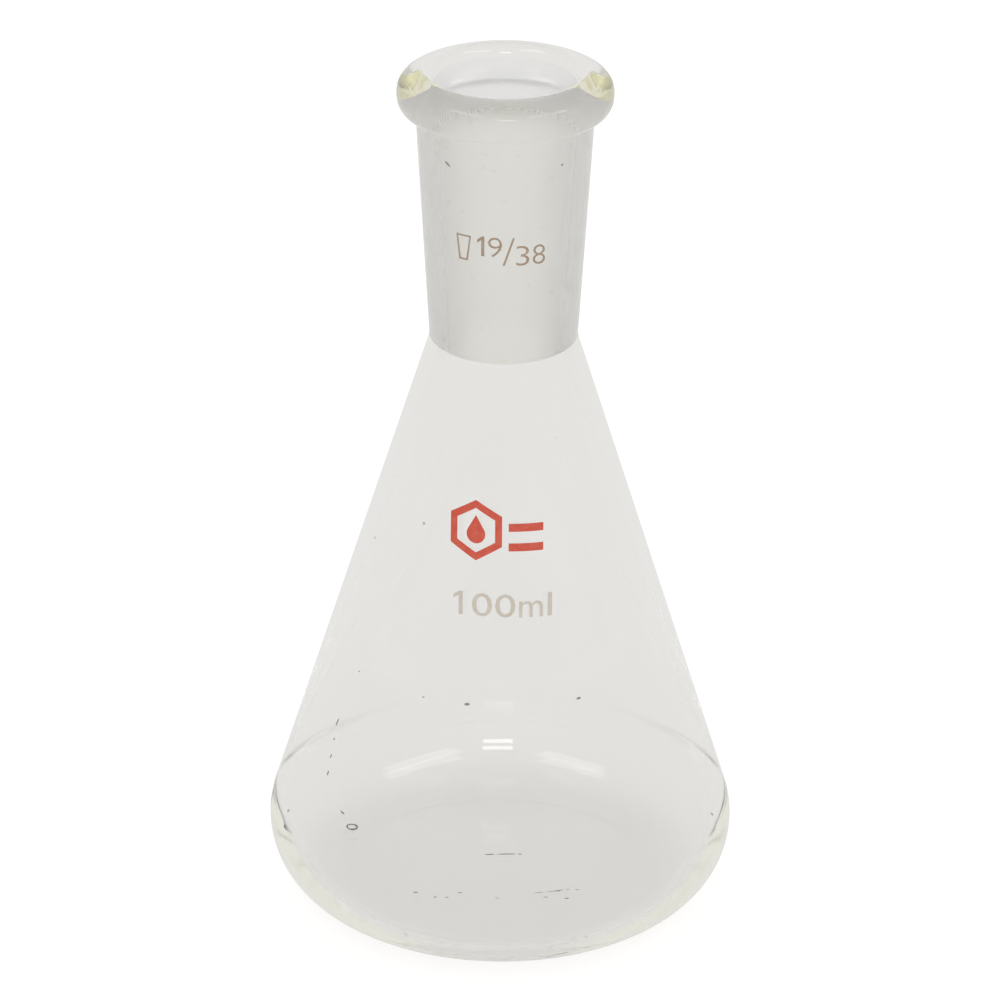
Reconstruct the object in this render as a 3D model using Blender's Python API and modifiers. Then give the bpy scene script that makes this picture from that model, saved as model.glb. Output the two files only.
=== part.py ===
"""Conical (Erlenmeyer) flask, 100 ml, with a 19/38 ground socket for a neck, in borosilicate glass.

The flask is turned about +Z and stands on z = 0. Its prints are fired enamel, and they face -Y.
Three glass pieces are fused end to end: the blown body, the neck socket and the rim bead.
Each printed character is a thin enamel island of its own on the outside of the glass.
"""

import math

import bmesh
import bpy
from mathutils import Vector

# Body, in metres
BODY_RADIUS = 0.0330  # outside, at the widest level
HEEL_RADIUS = 0.0108  # outside rounding from wall to base
SEAM_HEIGHT = 0.0850  # top of the cone, where the neck is fused on
INNER_HEEL_RADIUS = 0.0104
SIDE_WALL = 0.0009  # where the body is widest
SEAM_WALL = 0.0023
BASE_THICKNESS = 0.0015
REST_RING_WIDTH = 0.0030  # flat ring that the flask stands on
PUSH_UP = 0.0011  # how far the middle of the base is raised

# Neck socket: a 19/38 joint, whose bore widens by 1 in 10
BORE_RADIUS = 0.0095  # at the wide end of the ground zone
BORE_TAPER = 0.1  # growth of the diameter along the bore
GROUND_IN_BEAD = 0.0036  # how far the ground zone runs up into the bead
NECK_WALL_LOW = 0.0025
NECK_WALL_HIGH = 0.0028
NECK_LENGTH = 0.0317  # from the seam to the bead's joint

# Rim bead
BEAD_OVERHANG = 0.0026  # how far the bead stands out from the neck
BEAD_CORE = 0.00485  # half-width of the blunt oval that forms its outside
BEAD_HALF_HEIGHT = 0.00323
BEAD_BLUNTNESS = 2.46  # 2 is a true oval, and more is squarer
MOUTH_FLARE = 0.00005  # growth of the mouth's radius above the ground zone
LIP_ROUND_WIDTH = 0.00175
LIP_ROUND_HEIGHT = 0.0024

FUSE_GAP = 0.0003  # between two glass solids that are fused on the real flask
SEGMENTS = 64
WALL_STEPS = 6
HEEL_STEPS = 12
BASE_STEPS = 3
LIP_STEPS = 5
BEAD_STEPS = 12

# Prints
PRINT_GAP = 0.00002
PRINT_THICKNESS = 0.00006
PRINT_STEP = 0.0006  # longest straight run of a print round the wall
PRINT_TILT = math.radians(-1.2)  # the prints run down slightly to the right
CAPACITY_HEIGHT = 0.0032
CAPACITY_BELOW_SEAM = 0.0333
CAPACITY_MARKS = (  # name, character, left edge, width, share of the height
    ("digit_1", "1", -0.0067, 0.0013, 1.0),
    ("digit_2", "0", -0.0041, 0.0028, 1.0),
    ("digit_3", "0", -0.0009, 0.0028, 1.0),
    ("letter_m", "m", 0.0024, 0.0033, 0.7),
    ("letter_l", "l", 0.0064, 0.0006, 1.0),
)
JOINT_MARK_ABOVE_SEAM = 0.0147
JOINT_DIGIT_HEIGHT = 0.0029
JOINT_DIGIT_THINNING = 0.03
JOINT_UPPER_LIFT = 0.0012  # the two digits before the slash stand higher
JOINT_MARKS = (  # name, character, left edge, width, share of the lift
    ("digit_1", "1", -0.0037, 0.0010, 1),
    ("digit_2", "9", -0.0022, 0.0019, 1),
    ("slash", "/", -0.0002, 0.0016, 0),
    ("digit_3", "3", 0.0016, 0.0018, 0),
    ("digit_4", "8", 0.0039, 0.0018, 0),
)
TAPER_SYMBOL_LEFT = -0.0068
TAPER_SYMBOL_LIFT = 0.0002
TAPER_SYMBOL_HEIGHT = 0.0037
TAPER_SYMBOL_WIDTH = 0.0022
TAPER_SYMBOL_NARROW_SHARE = 0.6  # its narrow end, as a share of its wide end
TAPER_SYMBOL_STROKE = 0.00022
EMBLEM_LEFT = -0.0072
EMBLEM_BELOW_SEAM = 0.0260
EMBLEM_HEIGHT = 0.0083
EMBLEM_STROKE = 0.0011
DROP_RADIUS = 0.0013
DROP_SHOULDER = math.radians(30)  # where the round belly of the drop turns into its point
DROP_STEPS = 16
DROP_TIP = 2.0  # height of the point above the belly's middle, in radii
DROP_BELOW_MIDDLE = 1.4  # foot of the drop below the emblem's middle, in radii
BAR_LENGTH = 0.0048
BAR_HEIGHT = 0.0011
BAR_PITCH = 0.0027
BAR_FOOT_SHARE = 0.18  # foot of the lower bar, as a share of the emblem's height
EMBLEM_BAR_GAP = 0.0009

# Outline of a 1 with a short flag, in a box one wide and one high
ONE = ((0.58, 0.0), (1.0, 0.0), (1.0, 1.0), (0.66, 1.0), (0.0, 0.82), (0.0, 0.66), (0.58, 0.80))

NECK_FOOT = SEAM_HEIGHT + FUSE_GAP
NECK_TOP = NECK_FOOT + NECK_LENGTH
BEAD_FOOT = NECK_TOP + FUSE_GAP
GROUND_TOP = BEAD_FOOT + GROUND_IN_BEAD


def bore_radius(height):
    """Radius of the tapered bore at a height, inside the neck and the bead."""
    return BORE_RADIUS - (GROUND_TOP - height) * BORE_TAPER / 2


NECK_OUTER_LOW = bore_radius(NECK_FOOT) + NECK_WALL_LOW
NECK_OUTER_HIGH = bore_radius(NECK_TOP) + NECK_WALL_HIGH


def tangent_angle(centre, radius, point):
    """Angle on a circle at which its tangent, going up, passes through a point above it."""
    across = point[0] - centre[0]
    up = point[1] - centre[1]
    return math.atan2(up, across) - math.acos(radius / math.hypot(across, up))


def arc(centre, width, height, start, end, steps):
    """Points (radius, height) on an oval, from one angle to another."""
    angles = [start + (end - start) * i / steps for i in range(steps + 1)]
    return [(centre[0] + width * math.cos(a), centre[1] + height * math.sin(a)) for a in angles]


def line(start, end, steps):
    """Points from start towards end, both left out."""
    shares = [i / steps for i in range(1, steps)]
    return [tuple(a + (b - a) * s for a, b in zip(start, end)) for s in shares]


def heel_to_seam(widest, level, rounding, seam_radius):
    """One face of the body, from its flat base at a level up the heel and the cone to the seam."""
    centre = (widest - rounding, level + rounding)
    seam = (seam_radius, SEAM_HEIGHT)
    tangent = tangent_angle(centre, rounding, seam)
    heel = arc(centre, rounding, rounding, -math.pi / 2, tangent, HEEL_STEPS)
    return heel + line(heel[-1], seam, WALL_STEPS) + [seam]


def outer_wall():
    return heel_to_seam(BODY_RADIUS, 0, HEEL_RADIUS, NECK_OUTER_LOW)


def inner_wall():
    seam_radius = NECK_OUTER_LOW - SEAM_WALL
    return heel_to_seam(BODY_RADIUS - SIDE_WALL, BASE_THICKNESS, INNER_HEEL_RADIUS, seam_radius)


def base_line(level):
    """The raised middle of the base, from the axis out to the flat ring."""
    ring = BODY_RADIUS - HEEL_RADIUS - REST_RING_WIDTH
    shares = [i / BASE_STEPS for i in range(BASE_STEPS + 1)]
    return [(ring * s, level + PUSH_UP * (1 + math.cos(math.pi * s)) / 2) for s in shares]


def body_profile():
    return base_line(BASE_THICKNESS) + inner_wall() + outer_wall()[::-1] + base_line(0)[::-1]


def neck_profile():
    inner = [(bore_radius(z), z) for z in (NECK_FOOT, NECK_TOP)]
    outer = [(NECK_OUTER_HIGH, NECK_TOP), (NECK_OUTER_LOW, NECK_FOOT)]
    return inner + outer


def bead_angle(radius, middle_radius):
    """Angle on the bead's blunt oval, up from its widest point, at which it has a radius."""
    return math.acos(((radius - middle_radius) / BEAD_CORE) ** (BEAD_BLUNTNESS / 2))


def bead_point(middle, angle):
    """The point (radius, height) of the bead's blunt oval at an angle."""
    power = 2 / BEAD_BLUNTNESS
    rise = math.copysign(abs(math.sin(angle)) ** power, angle)
    return (middle[0] + BEAD_CORE * math.cos(angle) ** power, middle[1] + BEAD_HALF_HEIGHT * rise)


def bead_profile():
    """The mouth and the lip on the inside, and a blunt oval on the outside."""
    middle_radius = NECK_OUTER_HIGH + BEAD_OVERHANG - BEAD_CORE
    crest_radius = BORE_RADIUS + MOUTH_FLARE + LIP_ROUND_WIDTH
    foot_angle = -bead_angle(NECK_OUTER_HIGH, middle_radius)
    crest_angle = bead_angle(crest_radius, middle_radius)
    drop_to_foot = bead_point((middle_radius, 0), foot_angle)[1]
    middle = (middle_radius, BEAD_FOOT - drop_to_foot)
    turns = [crest_angle + (foot_angle - crest_angle) * i / BEAD_STEPS for i in range(BEAD_STEPS + 1)]
    outside = [bead_point(middle, angle) for angle in turns]
    lip_centre = (crest_radius, outside[0][1] - LIP_ROUND_HEIGHT)
    lip = arc(lip_centre, LIP_ROUND_WIDTH, LIP_ROUND_HEIGHT, math.pi, math.pi / 2, LIP_STEPS)
    inside = [(bore_radius(BEAD_FOOT), BEAD_FOOT), (BORE_RADIUS, GROUND_TOP)]
    return inside + lip + outside[1:]


def new_material(name, colour, roughness, transmission=0.0):
    material = bpy.data.materials.new(name)
    material.use_nodes = True
    shader = material.node_tree.nodes["Principled BSDF"]
    shader.inputs["Base Color"].default_value = (*colour, 1)
    shader.inputs["Roughness"].default_value = roughness
    shader.inputs["Metallic"].default_value = 0.0
    shader.inputs["Transmission Weight"].default_value = transmission
    shader.inputs["IOR"].default_value = 1.473
    return material


def turned(name, profile, closed, material, collection):
    """A solid turned about Z from a profile that runs up its inside and down its outside."""
    mesh = bpy.data.meshes.new(name)
    count = len(profile)
    edges = [(i, (i + 1) % count) for i in range(count if closed else count - 1)]
    mesh.from_pydata([(r, 0, z) for r, z in profile], edges, [])
    turned_object = bpy.data.objects.new(name, mesh)
    collection.objects.link(turned_object)
    screw = turned_object.modifiers.new("turn", "SCREW")
    screw.axis = "Z"
    screw.angle = math.tau
    screw.steps = SEGMENTS
    screw.render_steps = SEGMENTS
    screw.use_merge_vertices = True
    screw.merge_threshold = 1e-6
    screw.use_smooth_shade = True
    mesh.materials.append(material)
    return turned_object


def flat_shape(outlines):
    """A 2D curve filled between closed outlines, as thick as a print."""
    curve = bpy.data.curves.new("outline", "CURVE")
    curve.dimensions = "2D"
    curve.fill_mode = "BOTH"
    curve.extrude = PRINT_THICKNESS / 2
    for outline in outlines:
        spline = curve.splines.new("POLY")
        spline.points.add(len(outline) - 1)
        spline.use_cyclic_u = True
        for point, (u, v) in zip(spline.points, outline):
            point.co = (u, v, 0, 1)
    return curve


def letter_shape(letter, thinning=0.0):
    """One printed character, as thick as a print, with its strokes thinned by a share of its size."""
    if letter == "1":
        return flat_shape([ONE])
    curve = bpy.data.curves.new("letter", "FONT")
    curve.body = letter
    curve.size = 1.0
    curve.offset = -thinning / 2
    curve.resolution_u = 3
    curve.fill_mode = "BOTH"
    curve.extrude = PRINT_THICKNESS / 2
    return curve


def mesh_of(curve):
    """The curve's own solid as a mesh. The curve is removed."""
    helper = bpy.data.objects.new("helper", curve)
    bpy.context.scene.collection.objects.link(helper)
    bpy.context.view_layer.update()
    graph = bpy.context.evaluated_depsgraph_get()
    mesh = bpy.data.meshes.new_from_object(helper.evaluated_get(graph))
    bpy.data.objects.remove(helper)
    bpy.data.curves.remove(curve)
    return mesh


def fit_to_box(shape, box):
    """Stretches a flat print until it fills its box, which is (left, foot, width, height)."""
    corners = [v.co.copy() for v in shape.verts]
    for axis in (0, 1):
        low = min(c[axis] for c in corners)
        high = max(c[axis] for c in corners)
        for vertex, corner in zip(shape.verts, corners):
            vertex.co[axis] = box[axis] + (corner[axis] - low) / (high - low) * box[axis + 2]


def wrap(shape, level, low, high):
    """Bends a flat print round a conical wall that runs from low to high, each (radius, height).

    The print's own zero goes to the front of the wall, at the height level, and its face is
    PRINT_GAP off the glass.
    """
    slant = math.hypot(high[0] - low[0], high[1] - low[1])
    lean = (high[0] - low[0]) / slant
    rise = (high[1] - low[1]) / slant
    level_radius = low[0] + (level - low[1]) * lean / rise
    for vertex in shape.verts:
        along, up, out = vertex.co
        up += along * math.tan(PRINT_TILT)
        out += PRINT_GAP + PRINT_THICKNESS / 2
        wall_radius = level_radius + up * lean
        angle = along / wall_radius
        radius = wall_radius + out * rise
        height = level + up * rise - out * lean
        vertex.co = (radius * math.sin(angle), -radius * math.cos(angle), height)


def cut_in_strips(shape):
    """Cuts a flat print upright every PRINT_STEP, so that it can bend."""
    lowest = min(v.co.x for v in shape.verts)
    highest = max(v.co.x for v in shape.verts)
    for i in range(1, math.ceil((highest - lowest) / PRINT_STEP)):
        everything = shape.verts[:] + shape.edges[:] + shape.faces[:]
        cut = Vector((lowest + i * PRINT_STEP, 0, 0))
        bmesh.ops.bisect_plane(shape, geom=everything, dist=1e-7, plane_co=cut, plane_no=(1, 0, 0))


def printed(name, curve, box, level, wall, material, collection):
    """An enamel print wrapped on the outside of a wall. The box's foot is measured from level."""
    mesh = mesh_of(curve)
    mesh.name = name
    shape = bmesh.new()
    shape.from_mesh(mesh)
    fit_to_box(shape, box)
    bmesh.ops.remove_doubles(shape, verts=shape.verts, dist=1e-7)
    cut_in_strips(shape)
    wrap(shape, level, *wall)
    shape.to_mesh(mesh)
    shape.free()
    mesh.materials.clear()
    mesh.materials.append(material)
    collection.objects.link(bpy.data.objects.new(name, mesh))


def cone_wall():
    """The straight outside of the body, low end first, as (radius, height)."""
    outer = outer_wall()
    return outer[HEEL_STEPS], outer[-1]


def neck_wall():
    return (NECK_OUTER_LOW, NECK_FOOT), (NECK_OUTER_HIGH, NECK_TOP)


def print_capacity(material, collection):
    """The capacity mark, one enamel island for each character."""
    level = SEAM_HEIGHT - CAPACITY_BELOW_SEAM
    for name, letter, left, width, share in CAPACITY_MARKS:
        box = (left, 0, width, CAPACITY_HEIGHT * share)
        printed(f"capacity_{name}", letter_shape(letter), box, level, cone_wall(), material, collection)


def print_joint_size(material, collection):
    """The joint's size, with its width above the slash and its length below it."""
    level = SEAM_HEIGHT + JOINT_MARK_ABOVE_SEAM
    for name, letter, left, width, share in JOINT_MARKS:
        height = JOINT_DIGIT_HEIGHT + (JOINT_UPPER_LIFT if letter == "/" else 0)
        box = (left, JOINT_UPPER_LIFT * share, width, height)
        shape = letter_shape(letter, JOINT_DIGIT_THINNING)
        printed(f"joint_{name}", shape, box, level, neck_wall(), material, collection)


def print_taper_symbol(material, collection):
    """A plain outline of a tapered plug, wide end up."""
    half, height, stroke = TAPER_SYMBOL_WIDTH / 2, TAPER_SYMBOL_HEIGHT, TAPER_SYMBOL_STROKE
    narrow = half * TAPER_SYMBOL_NARROW_SHARE
    outer = [(-narrow, 0), (narrow, 0), (half, height), (-half, height)]
    inset_low = narrow - stroke
    inset_high = half - stroke
    top = height - stroke
    inner = [(-inset_low, stroke), (inset_low, stroke), (inset_high, top), (-inset_high, top)]
    shape = flat_shape([outer, inner])
    box = (TAPER_SYMBOL_LEFT, TAPER_SYMBOL_LIFT, TAPER_SYMBOL_WIDTH, TAPER_SYMBOL_HEIGHT)
    level = SEAM_HEIGHT + JOINT_MARK_ABOVE_SEAM
    printed("joint_taper_symbol", shape, box, level, neck_wall(), material, collection)


def hexagon(height):
    """A regular hexagon with a corner up."""
    corners = [math.pi * (2 * i + 1) / 6 for i in range(6)]
    return [(height / 2 * math.cos(a), height / 2 * math.sin(a)) for a in corners]


def drop(radius):
    """A liquid drop: a round belly that narrows to a point above."""
    sweep = math.pi + 2 * DROP_SHOULDER
    belly = [DROP_SHOULDER - sweep * i / DROP_STEPS for i in range(DROP_STEPS + 1)]
    return [(radius * math.cos(a), radius * math.sin(a)) for a in belly] + [(0, radius * DROP_TIP)]


def print_emblem(material, collection):
    """A plain emblem: a hexagon with a drop in it, and two bars beside it."""
    wall = cone_wall()
    base = SEAM_HEIGHT - EMBLEM_BELOW_SEAM
    width = EMBLEM_HEIGHT * math.cos(math.pi / 6)
    middle = EMBLEM_LEFT + width / 2
    ring = flat_shape([hexagon(EMBLEM_HEIGHT), hexagon(EMBLEM_HEIGHT - 2 * EMBLEM_STROKE)])
    box = (EMBLEM_LEFT, 0, width, EMBLEM_HEIGHT)
    printed("emblem_hexagon", ring, box, base, wall, material, collection)
    drop_foot = EMBLEM_HEIGHT / 2 - DROP_RADIUS * DROP_BELOW_MIDDLE
    box = (middle - DROP_RADIUS, drop_foot, 2 * DROP_RADIUS, (1 + DROP_TIP) * DROP_RADIUS)
    printed("emblem_drop", flat_shape([drop(DROP_RADIUS)]), box, base, wall, material, collection)
    for i, name in enumerate(("emblem_bar_lower", "emblem_bar_upper")):
        foot = EMBLEM_HEIGHT * BAR_FOOT_SHARE + i * BAR_PITCH
        box = (EMBLEM_LEFT + width + EMBLEM_BAR_GAP, foot, BAR_LENGTH, BAR_HEIGHT)
        square = flat_shape([[(0, 0), (1, 0), (1, 1), (0, 1)]])
        printed(name, square, box, base, wall, material, collection)


def main():
    for old in list(bpy.data.objects):
        bpy.data.objects.remove(old)
    flask = bpy.data.collections.new("conical_flask")
    bpy.context.scene.collection.children.link(flask)
    clear_glass = new_material("clear_glass", (0.93, 0.94, 0.93), 0.02, 1.0)
    ground_glass = new_material("ground_glass", (0.93, 0.92, 0.90), 0.45, 1.0)
    red_enamel = new_material("red_enamel", (0.58, 0.08, 0.04), 0.35)
    cream_enamel = new_material("cream_enamel", (0.63, 0.57, 0.50), 0.4)
    brown_enamel = new_material("brown_enamel", (0.37, 0.28, 0.20), 0.4)
    turned("conical_body", body_profile(), False, clear_glass, flask)
    turned("neck_socket", neck_profile(), True, ground_glass, flask)
    turned("rim_bead", bead_profile(), True, clear_glass, flask)
    print_capacity(cream_enamel, flask)
    print_joint_size(brown_enamel, flask)
    print_taper_symbol(brown_enamel, flask)
    print_emblem(red_enamel, flask)


main()
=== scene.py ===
import math
import random

import bpy
from mathutils import Matrix, Quaternion, Vector

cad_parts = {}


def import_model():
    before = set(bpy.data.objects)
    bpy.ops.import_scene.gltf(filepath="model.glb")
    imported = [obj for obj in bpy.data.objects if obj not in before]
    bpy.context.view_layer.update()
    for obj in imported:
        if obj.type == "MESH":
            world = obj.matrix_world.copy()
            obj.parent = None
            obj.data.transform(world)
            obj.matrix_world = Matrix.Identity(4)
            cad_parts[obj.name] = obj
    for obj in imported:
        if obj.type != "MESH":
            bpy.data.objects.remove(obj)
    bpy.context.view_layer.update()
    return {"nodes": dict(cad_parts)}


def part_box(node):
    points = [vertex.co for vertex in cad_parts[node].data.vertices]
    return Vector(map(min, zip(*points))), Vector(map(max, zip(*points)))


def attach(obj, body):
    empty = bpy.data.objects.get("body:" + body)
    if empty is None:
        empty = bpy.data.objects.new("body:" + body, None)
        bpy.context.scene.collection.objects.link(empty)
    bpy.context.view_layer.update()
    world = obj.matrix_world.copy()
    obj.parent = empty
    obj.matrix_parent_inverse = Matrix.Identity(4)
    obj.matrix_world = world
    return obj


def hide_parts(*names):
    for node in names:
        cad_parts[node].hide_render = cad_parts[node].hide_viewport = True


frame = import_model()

MM = 0.001

# Sizes taken from the frame
BODY_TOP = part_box("conical_body")[1]
NECK_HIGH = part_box("neck_socket")[1]
BEAD_LOW, BEAD_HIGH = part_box("rim_bead")
WIDEST = BODY_TOP.x
SEAM = BODY_TOP.z
NECK_TOP_RADIUS = NECK_HIGH.x
BEAD_RADIUS = BEAD_HIGH.x
CREST = BEAD_HIGH.z

# Sizes of the glass that the frame's boxes don't give
HEEL_RADIUS = 10.8 * MM
INNER_HEEL_RADIUS = 10.4 * MM
REST_RING_WIDTH = 3.0 * MM
RING_RADIUS = WIDEST - HEEL_RADIUS - REST_RING_WIDTH
PUSH_UP = 1.1 * MM
BASE_WALL = 1.5 * MM
SIDE_WALL = 0.9 * MM
NECK_FOOT_RADIUS = 10.2 * MM
SEAM_ROUNDING = 5.5 * MM
BORE_FOOT_ROUNDING = 1.0 * MM
BORE_RADIUS = 9.5 * MM
BORE_SLOPE = 0.05
GROUND_IN_BEAD = 3.6 * MM
GROUND_BELOW_SEAM = 1.0 * MM
GROUND_OVER_LIP = 0.9 * MM
GROUND_DEPTH = 0.3 * MM  # faces this near the bore's cone are ground
BEAD_CORE = 4.85 * MM
BEAD_BLUNTNESS = 2.46
LIP_WIDTH = 1.75 * MM
LIP_HEIGHT = 2.4 * MM
CREST_RADIUS = 11.3 * MM
BEAD_FILLET = 0.25 * MM
SIDES = 192
RUN_STEP = 3 * MM  # spacing of the rings on a straight run

# Glass
GLASS_IOR = 1.473
GLASS_TINT = (0.88, 0.85, 0.45, 1)
GLASS_DENSITY = 3.5
CLEAR_WAVE_DEPTH = 0.02 * MM
GROUND_GRAIN_DEPTH = 0.01 * MM
SMEAR_EDGES = (0.52, 0.75)

# Enamel
PATCH_SCALE = 900.0
PATCH_EDGES = (0.4, 0.75)
PINHOLE_SCALE = 2200.0
GRAIN_ROUGHNESS = 0.25
PRINT_GRAIN_DEPTH = 0.01 * MM

# Seeds in the outside of the wall: angles round from the front in degrees, the rest in mm
NECK_SEED_ANGLE = 40
NECK_SEED_HEIGHT = 113.5
LONG_NECK_SEED = (1.1, 0.3, -35)  # length, width, lean
ROUND_NECK_SEED = (0.35, 0.3, 0)
TRAIL_ANGLES = (-58, -56)
TRAIL_HEIGHTS = (32, 25)
TRAIL_LENGTHS = (1.3, 0.4, 0.7, 0.8)
TRAIL_WIDTH = 0.25
TRAIL_LEAN = 80
CONE_SEED_HEIGHT = 40
CONE_SEED_ANGLES = (-54, -26, -11, 26)
CONE_SEED_LENGTHS = (0.35, 0.35, 0.8, 0.7)
CONE_SEED_LEAN = 5
HEEL_SEED_ANGLE = 70
HEEL_SEED_HEIGHT = 16
HEEL_SEED_LENGTH = 0.65
HEEL_SEED_WIDTH = 0.3
HEEL_SEED_LEAN = 60

# Dried residue on the inside of the base: x, y in mm and turn in degrees
BACK_SCRATCH = (0.5, 2.2, 3)
FRONT_SCRATCH = (7.5, -9.0, 16)
SCRATCH_LENGTHS = (1.4, 2.8, 0.5)
SCRATCH_GAP = 0.3
SCRATCH_WIDTH = 0.26
CRUMBS = 9
CRUMB_SPREAD = ((-14, 13), (-13, -8))
CRUMB_LENGTHS = (0.4, 0.9)
CRUMB_TURN = 30
BUBBLE_RING = (-21.5, 11.5)
BUBBLE_RADIUS = 0.75
BUBBLE_RIM = 0.12
RING_TAIL = (-23, 14, 1.2, 0.3, -60)  # x, y, length, width, turn
SCATTER_SEED = 4
GRAIN_HEIGHT = 0.15

# Stage
FLOOR_SIZE = 6
FLOOR_GAP = 0.3 * MM
FLOOR_DIFFUSE = 0.25
FLOOR_GLOW = 0.86
FLOOR_GLOW_THROUGH_GLASS = 0.57
SKY_STRENGTH = 0.8
HORIZON_STRENGTH = 0.75
SKY_FULL_AT = 0.35
BOUNCES = 64

# Camera
EYE = Vector((0, -0.6289, 0.3561))
AIM = Vector((-0.00034, 0, 0.0597))
LENS = 179.2
SENSOR = 36.0
CAMERA_ROLL = 0.0072


def clear_selection():
    if bpy.context.mode != "OBJECT":
        bpy.ops.object.mode_set(mode="OBJECT")
    bpy.ops.object.select_all(action="DESELECT")


# Profile helpers: points are (radius, height)

def arc(centre, radius, start, end, steps):
    angles = [start + (end - start) * i / steps for i in range(steps + 1)]
    return [(centre[0] + radius * math.cos(a), centre[1] + radius * math.sin(a)) for a in angles]


def rounded(before, corner, after, radius, steps):
    """The arc that rounds a corner between two straight runs."""
    corner = Vector(corner)
    back = (Vector(before) - corner).normalized()
    ahead = (Vector(after) - corner).normalized()
    half = back.angle(ahead) / 2
    middle = (back + ahead).normalized()
    centre = corner + middle * radius / math.sin(half)
    start = corner + back * radius / math.tan(half) - centre
    end = corner + ahead * radius / math.tan(half) - centre
    turn = start.angle(end)
    if start.x * end.y - start.y * end.x < 0:
        turn = -turn
    points = []
    for i in range(steps + 1):
        angle = turn * i / steps
        x = start.x * math.cos(angle) - start.y * math.sin(angle)
        y = start.x * math.sin(angle) + start.y * math.cos(angle)
        points.append((centre.x + x, centre.y + y))
    return points


def spaced(start, end, step):
    """Points on a straight run, both ends left out."""
    count = max(1, round(math.dist(start, end) / step))
    return [tuple(a + (b - a) * i / count for a, b in zip(start, end)) for i in range(1, count)]


def bore(height):
    """Radius of the ground bore at a height."""
    return BORE_RADIUS - (BEAD_LOW.z + GROUND_IN_BEAD - height) * BORE_SLOPE


def cone_side(widest, level, rounding, corner, corner_rounding, neck_point, steps):
    """Heel and cone of one face of the wall, up and round a corner into the neck."""
    centre = (widest - rounding, level + rounding)
    across, up = corner[0] - centre[0], corner[1] - centre[1]
    tangent = math.atan2(up, across) - math.acos(rounding / math.hypot(across, up))
    heel = arc(centre, rounding, -math.pi / 2, tangent, steps)
    turn = rounded(heel[-1], corner, neck_point, corner_rounding, 8)
    return heel + spaced(heel[-1], turn[0], RUN_STEP) + turn


def push_up(share):
    """How far the base is pushed up, at a share of the way from the axis out to the rest ring."""
    return PUSH_UP * (1 + math.cos(math.pi * share)) / 2


def base_face(level):
    """The pushed-up middle of the base, from the axis out to the rest ring."""
    shares = [i / 10 for i in range(11)]
    return [(RING_RADIUS * share, level + push_up(share)) for share in shares]


def bead_outside():
    """The blunt oval of the bead, from its crest down to the neck."""
    steps = 36
    middle_radius = BEAD_RADIUS - BEAD_CORE
    foot_share = (NECK_TOP_RADIUS - middle_radius) / BEAD_CORE
    power = 2 / BEAD_BLUNTNESS
    foot_angle = -math.acos(foot_share ** (1 / power))
    crest_angle = math.acos(((CREST_RADIUS - middle_radius) / BEAD_CORE) ** (1 / power))
    crest_rise = math.sin(crest_angle) ** power
    foot_drop = math.sin(-foot_angle) ** power
    half_height = (CREST - BEAD_LOW.z) / (crest_rise + foot_drop)
    middle_height = BEAD_LOW.z + half_height * foot_drop
    points = []
    for i in range(steps + 1):
        angle = crest_angle + (foot_angle - crest_angle) * i / steps
        radius = middle_radius + BEAD_CORE * math.cos(angle) ** power
        rise = math.copysign(abs(math.sin(angle)) ** power, angle) * half_height
        points.append((radius, middle_height + rise))
    return points


def mouth():
    """The clear mouth, from the top of the ground zone up over the lip to the crest."""
    steps = 16
    points = [(BORE_RADIUS, BEAD_LOW.z + GROUND_IN_BEAD)]
    for i in range(steps + 1):
        angle = math.pi - math.pi / 2 * i / steps
        radius = CREST_RADIUS + LIP_WIDTH * math.cos(angle)
        points.append((radius, CREST - LIP_HEIGHT + LIP_HEIGHT * math.sin(angle)))
    return points


def inside_profile():
    """The inner face of the glass, from the axis up to the crest."""
    ground_foot = SEAM - GROUND_BELOW_SEAM
    ground_top = (BORE_RADIUS, BEAD_LOW.z + GROUND_IN_BEAD)
    bore_foot = (bore(ground_foot), ground_foot)
    widest = WIDEST - SIDE_WALL
    inside = base_face(BASE_WALL)
    inside += cone_side(widest, BASE_WALL, INNER_HEEL_RADIUS, bore_foot, BORE_FOOT_ROUNDING, ground_top, 24)
    return inside + spaced(inside[-1], ground_top, RUN_STEP) + mouth()


def outside_profile():
    """The outer face of the body and the neck, from the axis up to the bead."""
    neck_top = (NECK_TOP_RADIUS, NECK_HIGH.z)
    seam = (NECK_FOOT_RADIUS, SEAM)
    outside = base_face(0)
    outside += cone_side(WIDEST, 0, HEEL_RADIUS, seam, SEAM_ROUNDING, neck_top, 30)
    return outside + spaced(outside[-1], neck_top, RUN_STEP)


def vessel_profile():
    """The whole section of the glass, up the inside and down the outside."""
    outside = outside_profile()
    bead = bead_outside()
    foot = (NECK_TOP_RADIUS, BEAD_LOW.z)
    turn = rounded(outside[-1], foot, bead[-3], BEAD_FILLET, 6)
    return inside_profile() + bead[1:-3] + turn[::-1] + outside[::-1]


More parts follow.
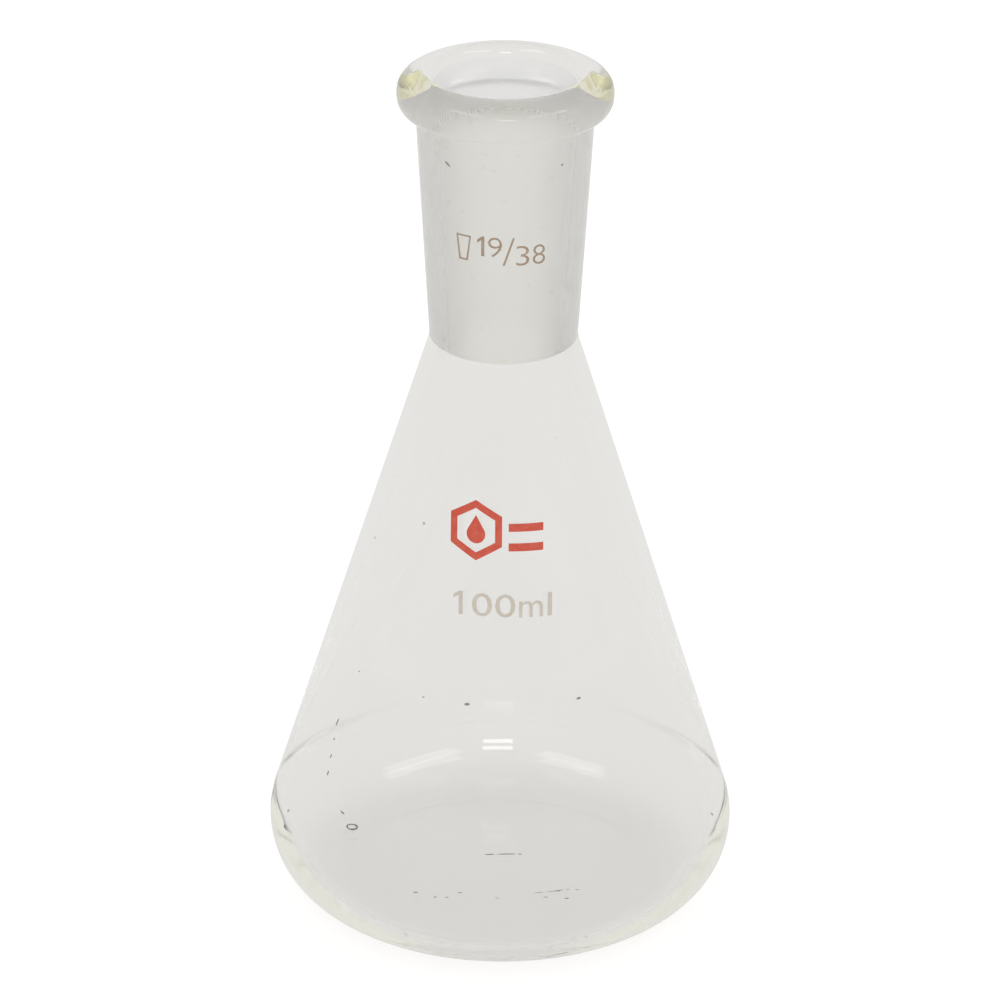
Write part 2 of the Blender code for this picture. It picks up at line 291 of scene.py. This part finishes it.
def turn_profile(name, profile):
    """Extrudes one vertex along the profile, spins it about Z and closes it."""
    clear_selection()
    bpy.ops.mesh.primitive_plane_add(size=MM, location=(0, 0, 0))
    turned = bpy.context.object
    turned.name = name
    turned.data.name = name
    bpy.ops.object.mode_set(mode="EDIT")
    bpy.ops.mesh.select_all(action="SELECT")
    bpy.ops.mesh.merge(type="CENTER")
    at = Vector((profile[0][0], 0, profile[0][1]))
    bpy.ops.transform.translate(value=at)
    for radius, height in profile[1:]:
        step = Vector((radius, 0, height)) - at
        bpy.ops.mesh.extrude_vertices_move(TRANSFORM_OT_translate={"value": step})
        at += step
    bpy.ops.mesh.select_all(action="SELECT")
    bpy.ops.mesh.spin(steps=SIDES, angle=math.tau, center=(0, 0, 0), axis=(0, 0, 1))
    bpy.ops.mesh.select_all(action="SELECT")
    bpy.ops.mesh.remove_doubles(threshold=0.001 * MM)
    bpy.ops.mesh.select_all(action="SELECT")
    bpy.ops.mesh.normals_make_consistent(inside=False)
    bpy.ops.object.mode_set(mode="OBJECT")
    bpy.ops.object.shade_smooth()
    return turned


def new_material(name):
    material = bpy.data.materials.new(name)
    material.use_nodes = True
    return material, material.node_tree, material.node_tree.nodes["Principled BSDF"]


def add(tree, kind, inputs=None, **settings):
    """A new node. Each input is a value or the socket that feeds it."""
    node = tree.nodes.new(kind)
    for name, value in settings.items():
        setattr(node, name, value)
    for name, value in (inputs or {}).items():
        if isinstance(value, bpy.types.NodeSocket):
            tree.links.new(value, node.inputs[name])
        else:
            node.inputs[name].default_value = value
    return node


def calculate(tree, operation, first, second):
    return add(tree, "ShaderNodeMath", {0: first, 1: second}, operation=operation).outputs[0]


def blend_colors(tree, share, first, second):
    node = tree.nodes.new("ShaderNodeMix")
    node.data_type = "RGBA"
    tree.links.new(share, node.inputs[0])
    tree.links.new(first, node.inputs[6])
    tree.links.new(second, node.inputs[7])
    return node.outputs[2]


def shader_group(name, inputs, outputs):
    """An empty shader node group. Each input is (name, kind, value), each output (name, kind)."""
    tree = bpy.data.node_groups.new(name, "ShaderNodeTree")
    for socket, kind, value in inputs:
        tree.interface.new_socket(socket, in_out="INPUT", socket_type=kind).default_value = value
    for socket, kind in outputs:
        tree.interface.new_socket(socket, in_out="OUTPUT", socket_type=kind)
    return tree, tree.nodes.new("NodeGroupInput").outputs, tree.nodes.new("NodeGroupOutput").inputs


def soft_step(tree, value, low, high):
    inputs = {"Value": value, "From Min": low, "From Max": high}
    return add(tree, "ShaderNodeMapRange", inputs, interpolation_type="SMOOTHSTEP").outputs["Result"]


def glass_marks():
    """Specks, smears and a slow waviness, for clear and ground glass."""
    color, number = "NodeSocketColor", "NodeSocketFloat"
    tree, given, result = shader_group("glass_marks", [
        ("Clean Color", color, (1, 1, 1, 1)),
        ("Speck Color", color, (0.5, 0.45, 0.4, 1)),
        ("Speck Spacing Scale", number, 150.0),
        ("Speck Share", number, 0.4),
        ("Speck Size", number, 0.04),
        ("Clean Roughness", number, 0.0),
        ("Smear Roughness", number, 0.05),
        ("Smear Scale", number, 60.0),
        ("Wave Scale", number, 90.0),
    ], [("Color", color), ("Roughness", number), ("Wave Height", number)])
    place = add(tree, "ShaderNodeTexCoord").outputs["Object"]
    cells = add(tree, "ShaderNodeTexVoronoi", {"Vector": place, "Scale": given["Speck Spacing Scale"]})
    chance = add(tree, "ShaderNodeSeparateColor", {"Color": cells.outputs["Color"]}).outputs
    chosen = calculate(tree, "LESS_THAN", chance["Red"], given["Speck Share"])
    size = calculate(tree, "MULTIPLY", chance["Green"], given["Speck Size"])
    near = calculate(tree, "LESS_THAN", cells.outputs["Distance"], size)
    speck = calculate(tree, "MULTIPLY", chosen, near)
    tree.links.new(blend_colors(tree, speck, given["Clean Color"], given["Speck Color"]), result["Color"])
    inputs = {"Vector": place, "Scale": given["Smear Scale"], "Detail": 5.0, "Roughness": 0.6}
    smear = soft_step(tree, add(tree, "ShaderNodeTexNoise", inputs).outputs["Fac"], *SMEAR_EDGES)
    rougher = calculate(tree, "MULTIPLY", smear, given["Smear Roughness"])
    tree.links.new(calculate(tree, "ADD", given["Clean Roughness"], rougher), result["Roughness"])
    inputs = {"Vector": place, "Scale": given["Wave Scale"], "Detail": 1.0}
    wave = add(tree, "ShaderNodeTexNoise", inputs).outputs["Fac"]
    tree.links.new(wave, result["Wave Height"])
    return tree


def print_wear():
    """Uneven firing, pinholes and a dulled face, for the enamels."""
    color, number = "NodeSocketColor", "NodeSocketFloat"
    tree, given, result = shader_group("print_wear", [
        ("Color", color, (0.5, 0.5, 0.5, 1)),
        ("Thin Color", color, (0.7, 0.7, 0.7, 1)),
        ("Thinning", number, 0.3),
        ("Pinhole Size", number, 0.2),
        ("Roughness", number, 0.35),
        ("Grain Scale", number, 6000.0),
    ], [("Color", color), ("Roughness", number), ("Height", number)])
    place = add(tree, "ShaderNodeTexCoord").outputs["Object"]
    inputs = {"Vector": place, "Scale": PATCH_SCALE, "Detail": 4.0, "Roughness": 0.65}
    patches = soft_step(tree, add(tree, "ShaderNodeTexNoise", inputs).outputs["Fac"], *PATCH_EDGES)
    thin = calculate(tree, "MULTIPLY", patches, given["Thinning"])
    cells = add(tree, "ShaderNodeTexVoronoi", {"Vector": place, "Scale": PINHOLE_SCALE})
    chance = add(tree, "ShaderNodeSeparateColor", {"Color": cells.outputs["Color"]}).outputs
    size = calculate(tree, "MULTIPLY", chance["Red"], given["Pinhole Size"])
    hole = calculate(tree, "LESS_THAN", cells.outputs["Distance"], size)
    share = calculate(tree, "MAXIMUM", thin, hole)
    tree.links.new(blend_colors(tree, share, given["Color"], given["Thin Color"]), result["Color"])
    inputs = {"Vector": place, "Scale": given["Grain Scale"], "Detail": 2.0}
    grain = add(tree, "ShaderNodeTexNoise", inputs).outputs["Fac"]
    uneven = calculate(tree, "MULTIPLY", grain, GRAIN_ROUGHNESS)
    tree.links.new(calculate(tree, "ADD", given["Roughness"], uneven), result["Roughness"])
    tree.links.new(calculate(tree, "SUBTRACT", grain, hole), result["Height"])
    return tree


def place_group(tree, group, values):
    node = tree.nodes.new("ShaderNodeGroup")
    node.node_tree = group
    for name, value in values.items():
        node.inputs[name].default_value = value
    return node.outputs


def bump(tree, shader, height, distance, strength=1.0):
    node = add(tree, "ShaderNodeBump", {"Height": height, "Distance": distance, "Strength": strength})
    tree.links.new(node.outputs["Normal"], shader.inputs["Normal"])


def clear_glass(marks):
    material, tree, shader = new_material("clear_glass")
    values = {"Clean Color": (0.995, 0.993, 0.985, 1), "Speck Color": (0.45, 0.38, 0.30, 1)}
    outputs = place_group(tree, marks, values)
    tree.links.new(outputs["Color"], shader.inputs["Base Color"])
    tree.links.new(outputs["Roughness"], shader.inputs["Roughness"])
    bump(tree, shader, outputs["Wave Height"], CLEAR_WAVE_DEPTH)
    shader.inputs["IOR"].default_value = GLASS_IOR
    shader.inputs["Transmission Weight"].default_value = 1.0
    inputs = {"Color": GLASS_TINT, "Density": GLASS_DENSITY}
    absorption = add(tree, "ShaderNodeVolumeAbsorption", inputs)
    tree.links.new(absorption.outputs[0], tree.nodes["Material Output"].inputs["Volume"])
    return material


def ground_glass(marks):
    material, tree, shader = new_material("ground_glass")
    values = {
        "Clean Color": (1.0, 0.995, 0.985, 1),
        "Speck Color": (0.93, 0.91, 0.87, 1),
        "Speck Spacing Scale": 700.0,
        "Speck Size": 0.3,
        "Clean Roughness": 0.5,
        "Smear Roughness": 0.12,
        "Smear Scale": 250.0,
        "Wave Scale": 5000.0,
    }
    outputs = place_group(tree, marks, values)
    tree.links.new(outputs["Color"], shader.inputs["Base Color"])
    tree.links.new(outputs["Roughness"], shader.inputs["Roughness"])
    bump(tree, shader, outputs["Wave Height"], GROUND_GRAIN_DEPTH)
    shader.inputs["IOR"].default_value = GLASS_IOR
    shader.inputs["Transmission Weight"].default_value = 1.0
    return material


def vessel():
    glass = turn_profile("glass_vessel", vessel_profile())
    marks = glass_marks()
    glass.data.materials.append(clear_glass(marks))
    glass.data.materials.append(ground_glass(marks))
    ground_foot = SEAM - GROUND_BELOW_SEAM
    ground_top = BEAD_LOW.z + GROUND_IN_BEAD + GROUND_OVER_LIP
    for face in glass.data.polygons:
        radius = math.hypot(face.center.x, face.center.y)
        if ground_foot < face.center.z < ground_top and radius < bore(face.center.z) + GROUND_DEPTH:
            face.material_index = 1
    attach(glass, "root")
    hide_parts("conical_body", "neck_socket", "rim_bead")


def enamel(name, wear, color, thin_color, thinning):
    material, tree, shader = new_material(name)
    values = {"Color": (*color, 1), "Thin Color": (*thin_color, 1), "Thinning": thinning}
    outputs = place_group(tree, wear, values)
    tree.links.new(outputs["Color"], shader.inputs["Base Color"])
    tree.links.new(outputs["Roughness"], shader.inputs["Roughness"])
    bump(tree, shader, outputs["Height"], PRINT_GRAIN_DEPTH)
    return material


def prints():
    wear = print_wear()
    red = enamel("red_enamel", wear, (0.60, 0.075, 0.04), (0.72, 0.20, 0.13), 0.35)
    cream = enamel("cream_enamel", wear, (0.59, 0.53, 0.45), (0.68, 0.64, 0.58), 0.6)
    brown = enamel("brown_enamel", wear, (0.37, 0.27, 0.19), (0.52, 0.44, 0.36), 0.5)
    for name, node in frame["nodes"].items():
        for start, material in (("emblem", red), ("capacity", cream), ("joint", brown)):
            if name.startswith(start):
                for material_slot in node.material_slots:
                    material_slot.material = material


def wall_radius(height):
    """Outside radius of the cone or the neck at a height above the heel."""
    wall = [point for point in outside_profile() if point[1] > HEEL_RADIUS]
    wall.append((NECK_TOP_RADIUS, NECK_HIGH.z))
    for (low_radius, low), (high_radius, high) in zip(wall, wall[1:]):
        if low <= height <= high:
            return low_radius + (high_radius - low_radius) * (height - low) / (high - low)


def floor_height(radius):
    """Height of the inner face of the base at a distance from the axis."""
    raised = push_up(min(radius / RING_RADIUS, 1))
    centre = WIDEST - SIDE_WALL - INNER_HEEL_RADIUS
    beyond = max(radius - centre, 0)
    heel = INNER_HEEL_RADIUS - math.sqrt(INNER_HEEL_RADIUS ** 2 - beyond ** 2)
    return BASE_WALL + raised + heel


def grain(place, along, outward, length, width):
    """A flat grain that lies in a surface."""
    across = outward.cross(along)
    turn = Matrix((along, across, outward)).transposed().to_euler()
    scale = (length, width, min(width, GRAIN_HEIGHT))
    bpy.ops.mesh.primitive_ico_sphere_add(
        subdivisions=2, radius=MM / 2, location=place, rotation=turn, scale=scale)
    return bpy.context.object


def wall_grain(angle, height, length, width, lean):
    """A grain in the outside of the wall, at an angle round from the front."""
    angle, lean = math.radians(angle), math.radians(lean)
    height *= MM
    step = 0.5 * MM
    growth = (wall_radius(height + step) - wall_radius(height)) / step
    around = Vector((math.cos(angle), math.sin(angle), 0))
    up = Vector((growth * math.sin(angle), -growth * math.cos(angle), 1)).normalized()
    radius = wall_radius(height)
    place = Vector((radius * math.sin(angle), -radius * math.cos(angle), height))
    along = around * math.cos(lean) + up * math.sin(lean)
    return grain(place, along, around.cross(up), length, width)


def floor_grain(x, y, length, width, turn):
    """A grain on the inside of the base."""
    turn = math.radians(turn)
    place = Vector((x * MM, y * MM, floor_height(math.hypot(x, y) * MM)))
    along = Vector((math.cos(turn), math.sin(turn), 0))
    return grain(place, along, Vector((0, 0, 1)), length, width)


def join(name, pieces, material):
    clear_selection()
    for piece in pieces:
        piece.select_set(True)
    bpy.context.view_layer.objects.active = pieces[0]
    bpy.ops.object.join()
    joined = bpy.context.object
    bpy.ops.object.transform_apply(location=True, rotation=True, scale=True)
    bpy.ops.object.shade_smooth()
    joined.name = name
    joined.data.name = name
    joined.data.materials.clear()
    joined.data.materials.append(material)
    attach(joined, "root")


def grit():
    material, tree, shader = new_material("grit")
    inputs = {"Vector": add(tree, "ShaderNodeTexCoord").outputs["Object"], "Scale": 3000.0}
    noise = add(tree, "ShaderNodeTexNoise", inputs).outputs["Fac"]
    dark, light = add(tree, "ShaderNodeRGB"), add(tree, "ShaderNodeRGB")
    dark.outputs[0].default_value = (0.20, 0.16, 0.11, 1)
    light.outputs[0].default_value = (0.42, 0.37, 0.30, 1)
    color = blend_colors(tree, noise, dark.outputs[0], light.outputs[0])
    tree.links.new(color, shader.inputs["Base Color"])
    shader.inputs["Roughness"].default_value = 0.6
    return material


def wall_seeds():
    """Two seeds in the neck, a trail down the left of the cone, four round it, two above the heel."""
    seeds = [
        wall_grain(-NECK_SEED_ANGLE, NECK_SEED_HEIGHT, *LONG_NECK_SEED),
        wall_grain(NECK_SEED_ANGLE, NECK_SEED_HEIGHT, *ROUND_NECK_SEED),
    ]
    for i, length in enumerate(TRAIL_LENGTHS):
        share = i / (len(TRAIL_LENGTHS) - 1)
        angle, height = (first + (last - first) * share for first, last in (TRAIL_ANGLES, TRAIL_HEIGHTS))
        seeds.append(wall_grain(angle, height, length, TRAIL_WIDTH, TRAIL_LEAN))
    for angle, length in zip(CONE_SEED_ANGLES, CONE_SEED_LENGTHS):
        seeds.append(wall_grain(angle, CONE_SEED_HEIGHT, length, length / 2, CONE_SEED_LEAN))
    for side in (-1, 1):
        size = (HEEL_SEED_LENGTH, HEEL_SEED_WIDTH)
        seeds.append(wall_grain(side * HEEL_SEED_ANGLE, HEEL_SEED_HEIGHT, *size, -side * HEEL_SEED_LEAN))
    return seeds


def scratch(x, y, turn):
    """A broken scratch on the base: grains end to end, centred on x and y."""
    heading = math.radians(turn)
    reach = -(sum(SCRATCH_LENGTHS) + SCRATCH_GAP * (len(SCRATCH_LENGTHS) - 1)) / 2
    grains = []
    for length in SCRATCH_LENGTHS:
        middle = reach + length / 2
        place = (x + middle * math.cos(heading), y + middle * math.sin(heading))
        grains.append(floor_grain(*place, length, SCRATCH_WIDTH, turn))
        reach += length + SCRATCH_GAP
    return grains


def base_residue():
    """Two scratches, crumbs along the front of the base and a ring left by a bubble."""
    residue = scratch(*BACK_SCRATCH) + scratch(*FRONT_SCRATCH)
    scatter = random.Random(SCATTER_SEED)
    for _ in range(CRUMBS):
        x, y = (scatter.uniform(*spread) for spread in CRUMB_SPREAD)
        length = scatter.uniform(*CRUMB_LENGTHS)
        residue.append(floor_grain(x, y, length, length / 2, scatter.uniform(-CRUMB_TURN, CRUMB_TURN)))
    residue.append(floor_grain(*RING_TAIL))
    x, y = BUBBLE_RING
    place = (x * MM, y * MM, floor_height(math.hypot(x, y) * MM))
    bpy.ops.mesh.primitive_torus_add(
        location=place, major_segments=20, minor_segments=6,
        major_radius=BUBBLE_RADIUS * MM, minor_radius=BUBBLE_RIM * MM)
    return residue + [bpy.context.object]


def marks_of_use():
    clear_selection()
    material = grit()
    join("wall_seeds", wall_seeds(), material)
    clear_selection()
    join("floor_residue", base_residue(), material)


def stage():
    clear_selection()
    bpy.ops.mesh.primitive_plane_add(size=FLOOR_SIZE, location=(0, 0, 0))
    floor = bpy.context.object
    floor.name = "floor"
    floor.location.z = -FLOOR_GAP
    material, tree, shader = new_material("floor")
    shader.inputs["Base Color"].default_value = (*[FLOOR_DIFFUSE] * 3, 1)
    shader.inputs["Roughness"].default_value = 0.9
    shader.inputs["Specular IOR Level"].default_value = 0.0
    shader.inputs["Emission Color"].default_value = (1.0, 0.99, 0.975, 1)
    floor.data.materials.append(material)
    seen = add(tree, "ShaderNodeLightPath").outputs["Is Camera Ray"]
    inputs = {"Value": seen, "To Min": FLOOR_GLOW_THROUGH_GLASS, "To Max": FLOOR_GLOW}
    glow = add(tree, "ShaderNodeMapRange", inputs).outputs["Result"]
    tree.links.new(glow, shader.inputs["Emission Strength"])


def world():
    sky = bpy.data.worlds.new("studio")
    bpy.context.scene.world = sky
    sky.use_nodes = True
    tree = sky.node_tree
    background = tree.nodes["Background"]
    background.inputs["Color"].default_value = (1, 1, 1, 1)
    direction = add(tree, "ShaderNodeTexCoord").outputs["Generated"]
    height = add(tree, "ShaderNodeSeparateXYZ", {"Vector": direction}).outputs["Z"]
    inputs = {"Value": height, "From Max": SKY_FULL_AT, "To Min": HORIZON_STRENGTH, "To Max": SKY_STRENGTH}
    rise = add(tree, "ShaderNodeMapRange", inputs).outputs["Result"]
    tree.links.new(rise, background.inputs["Strength"])


def soft_light(name, place, aim, size, power):
    data = bpy.data.lights.new(name, "AREA")
    data.shape = "RECTANGLE"
    data.size, data.size_y = size
    data.energy = power
    light = bpy.data.objects.new(name, data)
    light.location = place
    light.rotation_euler = (Vector(aim) - Vector(place)).to_track_quat("-Z", "Y").to_euler()
    bpy.context.scene.collection.objects.link(light)


def camera():
    data = bpy.data.cameras.new("camera")
    data.lens = LENS
    data.sensor_width = SENSOR
    data.clip_start = 0.01
    camera_object = bpy.data.objects.new("camera", data)
    camera_object.location = EYE
    turn = (AIM - EYE).to_track_quat("-Z", "Y")
    camera_object.rotation_mode = "QUATERNION"
    camera_object.rotation_quaternion = turn @ Quaternion((0, 0, 1), CAMERA_ROLL)
    bpy.context.scene.collection.objects.link(camera_object)
    bpy.context.scene.camera = camera_object


camera()
world()
stage()
soft_light("window", (0.02, -0.78, 0.61), (0, 0, 0.06), (0.24, 0.11), 0.6)
soft_light("left_overhead", (-0.45, -0.35, 0.80), (0, 0, 0.03), (0.50, 0.20), 0.6)
soft_light("right_overhead", (0.50, -0.35, 0.75), (0, 0, 0.03), (0.60, 0.20), 0.7)
vessel()
prints()
marks_of_use()
bpy.context.scene.view_settings.view_transform = "Standard"
bpy.context.scene.cycles.max_bounces = BOUNCES
bpy.context.scene.cycles.transmission_bounces = BOUNCES
bpy.context.scene.cycles.glossy_bounces = BOUNCES
